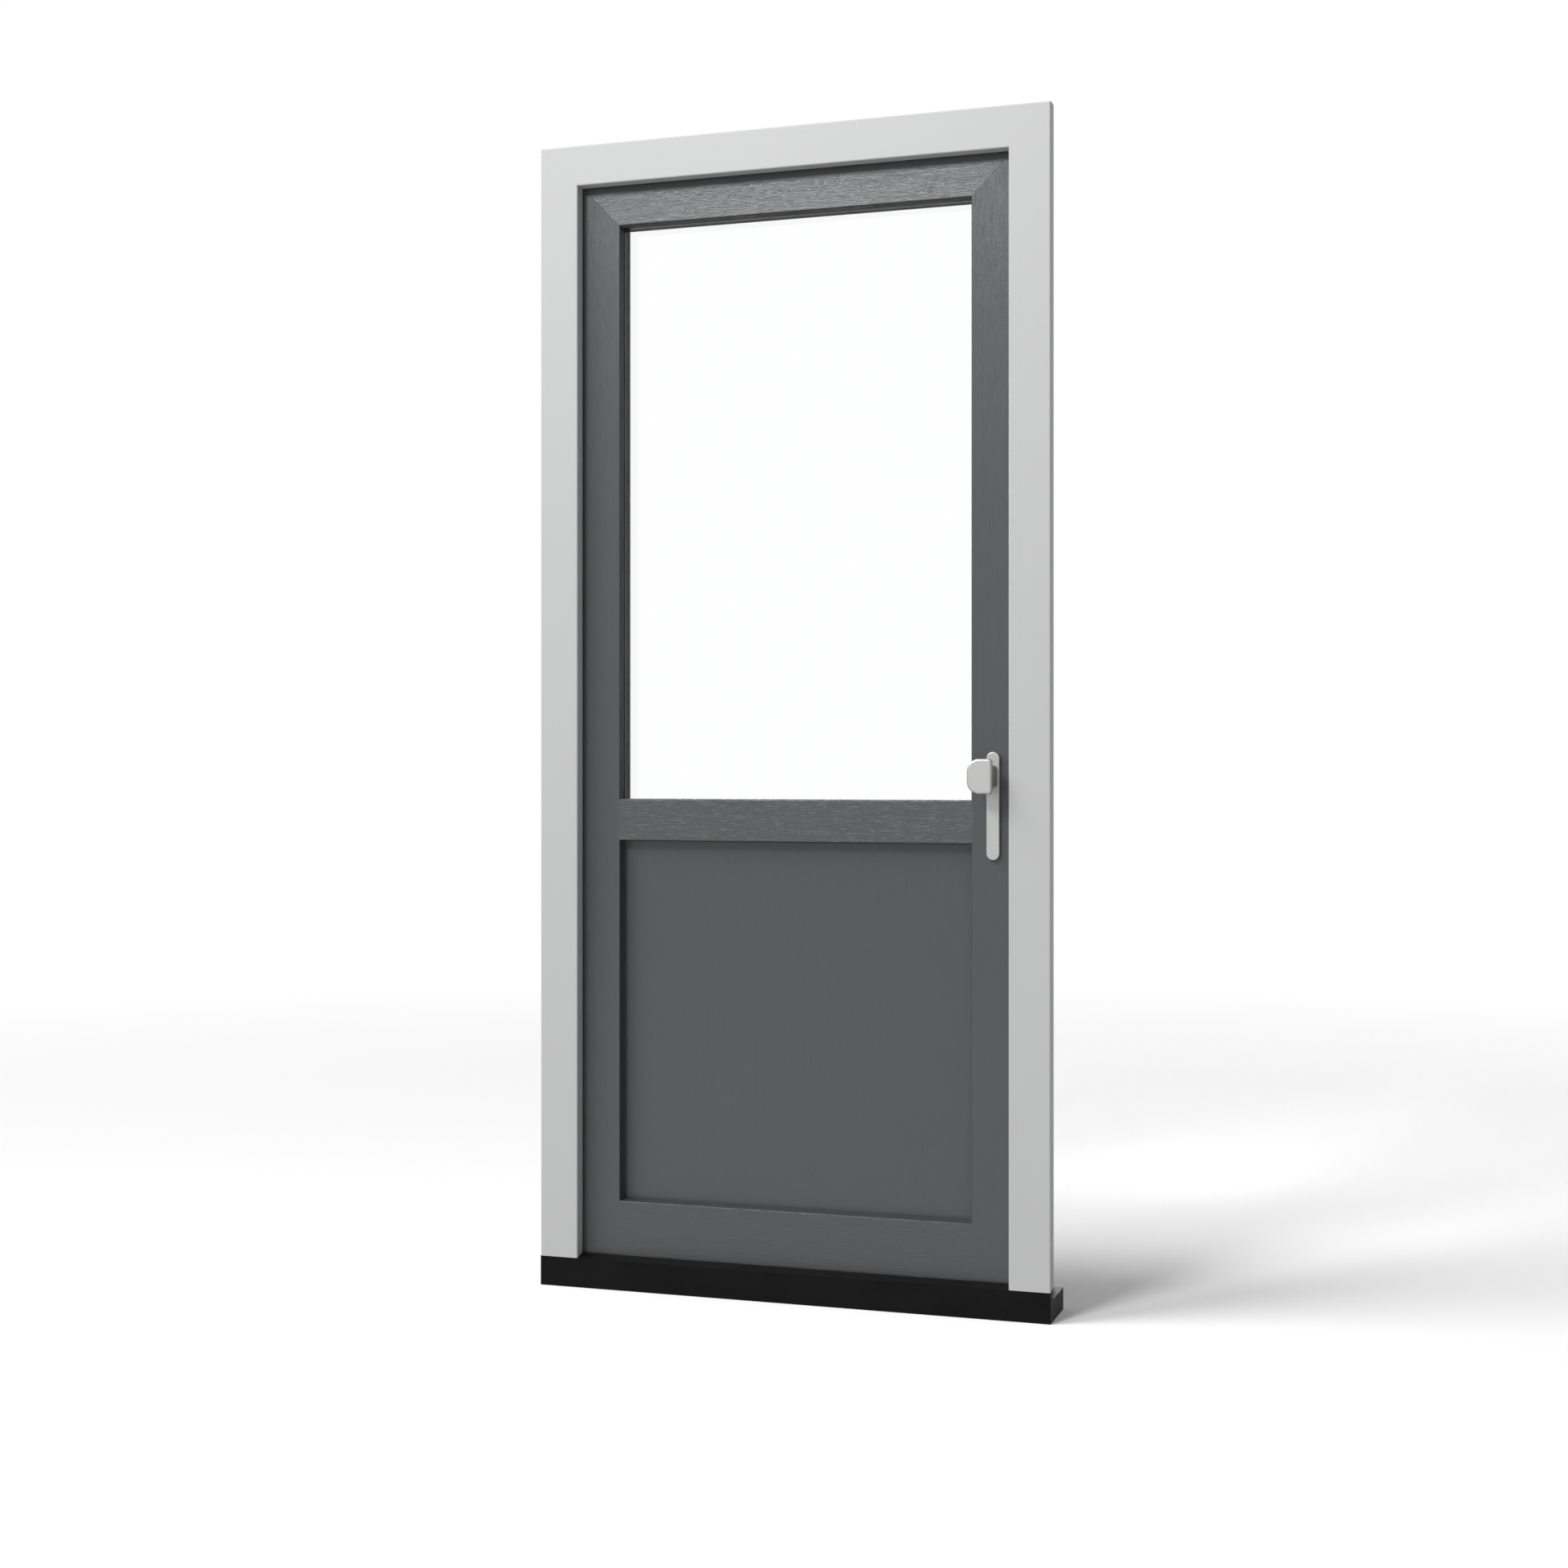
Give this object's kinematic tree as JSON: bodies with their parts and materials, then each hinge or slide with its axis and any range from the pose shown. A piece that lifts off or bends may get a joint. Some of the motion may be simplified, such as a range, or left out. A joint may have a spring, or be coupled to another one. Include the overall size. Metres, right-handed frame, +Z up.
{
  "type": "half-glazed door with frame",
  "caption": "Inward-opening door leaf in its frame: clear glass above a middle rail, plain panel below, dark threshold, fixed outside grip, inside knob and a hook lock worked by the key.",
  "frame": {"origin": "middle of the threshold's underside", "axes": "+X from the hinges to the lock seen from outside, +Y from outside to inside, +Z up"},
  "size_m": [1, 0.198, 2.2],
  "materials": {
    "frame_profile": "satin pale grey extruded profile",
    "leaf_profile": "anthracite foil with fine grain",
    "infill": "anthracite foil on a foam-cored panel",
    "threshold": "matt black glass-fibre composite",
    "galvanised_steel": "galvanised",
    "lock_steel": "satin plated",
    "screw_steel": "plated",
    "hinge_finish": "anthracite powder coat",
    "bush": "plain",
    "gasket": "matt black",
    "glass": "clear float glass",
    "spacer": "black anodised",
    "block": "plain",
    "handle_satin": "satin anodised",
    "cylinder": "satin nickel plate"
  },
  "bodies": {
    "frame": {"frame_jamb_hinge": "frame_profile", "frame_jamb_lock": "frame_profile", "frame_head": "frame_profile", "threshold": "threshold", "threshold_end_caps": "threshold", "frame_steel": "galvanised_steel", "frame_gasket": "gasket", "strike_plate_main": "lock_steel", "hook_strikes": "lock_steel", "frame_screws": "screw_steel", "hinge_pins": "hinge_finish", "hinge_frame_plate_top": "hinge_finish", "hinge_frame_plate_middle": "hinge_finish", "hinge_frame_plate_bottom": "hinge_finish"},
    "leaf": {"leaf_stile_hinge": "leaf_profile", "leaf_stile_lock": "leaf_profile", "leaf_rail_top": "leaf_profile", "leaf_rail_mid": "leaf_profile", "leaf_rail_bottom": "leaf_profile", "leaf_steel": "galvanised_steel", "leaf_bottom_seal": "gasket", "glass_outer_pane": "glass", "glass_inner_pane": "glass", "glass_spacer": "spacer", "glazing_seals": "gasket", "infill_panel": "infill", "setting_blocks": "block", "hinge_bushes": "bush", "leaf_screws": "screw_steel", "lock_faceplate": "lock_steel", "lock_case": "galvanised_steel", "hook_cases": "galvanised_steel", "cylinder_body": "cylinder", "cylinder_screw": "screw_steel", "outside_plate": "handle_satin", "outside_grip": "handle_satin", "inside_plate": "handle_satin", "plate_screws": "screw_steel", "hinge_leaf_plate_top": "hinge_finish", "hinge_leaf_plate_middle": "hinge_finish", "hinge_leaf_plate_bottom": "hinge_finish", "glass_bead_top": "leaf_profile", "glass_bead_bottom": "leaf_profile", "glass_bead_hinge_side": "leaf_profile", "glass_bead_lock_side": "leaf_profile", "panel_bead_top": "leaf_profile", "panel_bead_bottom": "leaf_profile", "panel_bead_hinge_side": "leaf_profile", "panel_bead_lock_side": "leaf_profile"},
    "knob": {"inside_knob": "handle_satin", "spindle": "lock_steel", "follower": "lock_steel"},
    "latch": {"latch_bolt": "lock_steel"},
    "deadbolt": {"deadbolt": "lock_steel"},
    "key_plug": {"key_plug": "cylinder", "key_cam": "cylinder"},
    "hook_top": {"hook_top": "lock_steel"},
    "hook_bottom": {"hook_bottom": "lock_steel"},
    "drive_rods": {"drive_rods": "galvanised_steel"}
  },
  "joints": [
    {"name": "leaf_swing", "type": "hinge", "parent": "frame", "child": "leaf", "pos_m": [-0.434, 0.056, 1.093], "axis": [0, 0, 1], "range_deg": [0, 105]},
    {"name": "knob_turn", "type": "hinge", "parent": "leaf", "child": "knob", "pos_m": [0.389, 0.05, 0.985], "axis": [0, -1, 0], "range_deg": [0, 45], "stiffness_Nm_per_rad": 1, "springref_deg": -22.92},
    {"name": "latch_slide", "type": "slide", "parent": "leaf", "child": "latch", "axis": [1, 0, 0], "range_m": [0, 0.012]},
    {"name": "plug_turn", "type": "hinge", "parent": "leaf", "child": "key_plug", "pos_m": [0.389, 0.01, 0.893], "axis": [0, 1, 0], "range_deg": [0, 360]},
    {"name": "deadbolt_throw", "type": "slide", "parent": "leaf", "child": "deadbolt", "axis": [1, 0, 0], "range_m": [0, 0.02]},
    {"name": "rod_slide", "type": "slide", "parent": "leaf", "child": "drive_rods", "axis": [0, 0, 1], "range_m": [0, 0.012]},
    {"name": "hook_top_swing", "type": "hinge", "parent": "leaf", "child": "hook_top", "pos_m": [0.414, 0.01, 1.65], "axis": [0, -1, 0], "range_deg": [0, 90]},
    {"name": "hook_bottom_swing", "type": "hinge", "parent": "leaf", "child": "hook_bottom", "pos_m": [0.414, 0.01, 0.3], "axis": [0, -1, 0], "range_deg": [0, 90]}
  ],
  "couplings": [
    {"joint": "plug_turn", "follows": "deadbolt_throw", "rad_per_m": 314},
    {"joint": "rod_slide", "follows": "deadbolt_throw", "ratio": 0.599},
    {"joint": "hook_top_swing", "follows": "deadbolt_throw", "rad_per_m": 78.5},
    {"joint": "hook_bottom_swing", "follows": "deadbolt_throw", "rad_per_m": 78.5}
  ]
}
